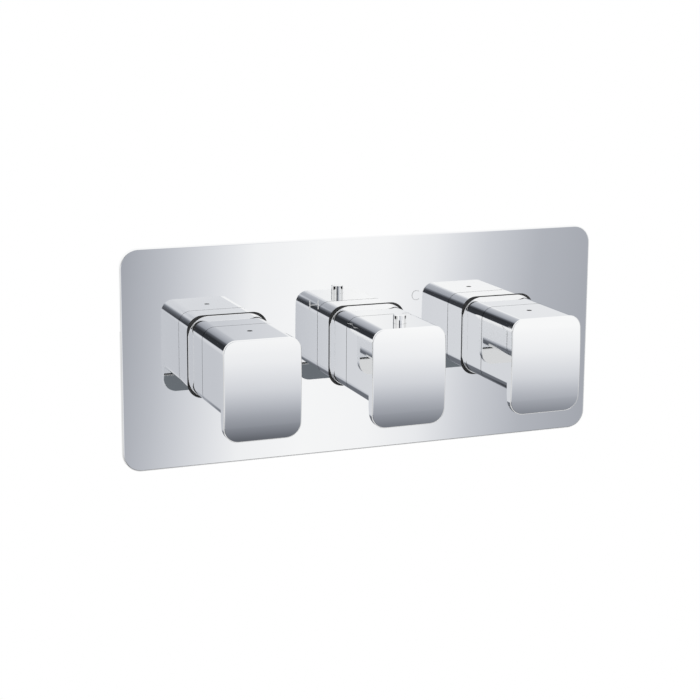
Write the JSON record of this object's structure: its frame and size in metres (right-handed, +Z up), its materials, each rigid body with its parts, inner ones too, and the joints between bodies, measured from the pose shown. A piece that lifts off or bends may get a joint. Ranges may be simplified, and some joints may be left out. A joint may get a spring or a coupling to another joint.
{
  "type": "thermostatic shower valve",
  "caption": "Concealed thermostatic shower mixer with a thin rounded cover plate, square lever handles, a temperature override button and a brass body with pipe threads behind the wall.",
  "frame": {"origin": "centre of the cover plate in the plane of its wall-side rim, on the middle spindle's axis", "axes": "+X along the plate to the right as seen from the room, +Y into the wall, +Z up"},
  "size_m": [0.3, 0.1378, 0.13],
  "materials": {
    "polished_chrome": "mirror-polished chrome plating",
    "seal_rubber": "matt black rubber",
    "valve_brass": "machined and cast brass",
    "stainless_steel": "bright drawn stainless steel",
    "disc_ceramic": "lapped white ceramic",
    "grey_plastic": "moulded engineering plastic"
  },
  "bodies": {
    "valve": {"cover_plate": "polished_chrome", "left_sleeve": "polished_chrome", "middle_sleeve": "polished_chrome", "right_sleeve": "polished_chrome", "plate_gasket": "seal_rubber", "left_sleeve_seal": "seal_rubber", "middle_sleeve_seal": "seal_rubber", "right_sleeve_seal": "seal_rubber", "sleeve_o_rings": "seal_rubber", "flow_o_rings": "seal_rubber", "spindle_o_rings": "seal_rubber", "thermostat_o_rings": "seal_rubber", "left_seat_seal": "seal_rubber", "right_seat_seal": "seal_rubber", "valve_body": "valve_brass", "gallery_plugs": "valve_brass", "left_outlet_union": "valve_brass", "right_outlet_union": "valve_brass", "hot_inlet_union": "valve_brass", "cold_inlet_union": "valve_brass", "left_flow_housing": "valve_brass", "right_flow_housing": "valve_brass", "thermostat_housing": "valve_brass", "end_ring": "valve_brass", "return_spring": "stainless_steel", "hot_check_spring": "stainless_steel", "cold_check_spring": "stainless_steel", "hot_inlet_filter": "stainless_steel", "cold_inlet_filter": "stainless_steel", "left_fixed_disc": "disc_ceramic", "right_fixed_disc": "disc_ceramic", "stop_ring": "grey_plastic", "hot_check_cage": "grey_plastic", "cold_check_cage": "grey_plastic"},
    "left_flow": {"left_handle": "polished_chrome", "left_grub_screw": "stainless_steel", "left_adapter": "grey_plastic", "left_adapter_screw": "stainless_steel", "left_flow_spindle": "valve_brass", "left_moving_disc": "disc_ceramic"},
    "right_flow": {"right_handle": "polished_chrome", "right_grub_screw": "stainless_steel", "right_adapter": "grey_plastic", "right_adapter_screw": "stainless_steel", "right_flow_spindle": "valve_brass", "right_moving_disc": "disc_ceramic"},
    "temperature": {"temperature_handle": "polished_chrome", "temperature_grub_screw": "stainless_steel", "temperature_adapter": "grey_plastic", "temperature_adapter_screw": "stainless_steel", "temperature_spindle": "valve_brass", "button_spring": "stainless_steel"},
    "button": {"override_button": "polished_chrome"},
    "thermostat_slide": {"setting_nut": "valve_brass", "overload_spring": "stainless_steel", "plunger": "grey_plastic", "wax_element": "valve_brass", "shuttle": "grey_plastic"},
    "hot_check": {"hot_check_poppet": "grey_plastic"},
    "cold_check": {"cold_check_poppet": "grey_plastic"}
  },
  "joints": [
    {"name": "left_handle_turn", "type": "hinge", "parent": "valve", "child": "left_flow", "pos_m": [-0.087, 0, 0], "axis": [0, -1, 0], "range_deg": [0, 90]},
    {"name": "right_handle_turn", "type": "hinge", "parent": "valve", "child": "right_flow", "pos_m": [0.087, 0, 0], "axis": [0, -1, 0], "range_deg": [0, 90]},
    {"name": "temperature_handle_turn", "type": "hinge", "parent": "valve", "child": "temperature", "pos_m": [0, 0, 0], "axis": [0, -1, 0], "range_deg": [-110, 0]},
    {"name": "override_press", "type": "slide", "parent": "temperature", "child": "button", "axis": [0, 0, -1], "range_m": [0, 0.0024], "stiffness_N_per_m": 800, "springref_m": -0.001, "deforming": ["button_spring"]},
    {"name": "shuttle_slide", "type": "slide", "parent": "valve", "child": "thermostat_slide", "axis": [0, 1, 0], "range_m": [-0.0008, 0]},
    {"name": "hot_check_lift", "type": "slide", "parent": "valve", "child": "hot_check", "axis": [0, 0, 1], "range_m": [0, 0.003], "stiffness_N_per_m": 150, "springref_m": -0.004, "deforming": ["hot_check_spring"]},
    {"name": "cold_check_lift", "type": "slide", "parent": "valve", "child": "cold_check", "axis": [0, 0, 1], "range_m": [0, 0.003], "stiffness_N_per_m": 150, "springref_m": -0.004, "deforming": ["cold_check_spring"]}
  ],
  "couplings": [
    {"joint": "shuttle_slide", "follows": "temperature_handle_turn", "m_per_rad": 0.00039789}
  ]
}
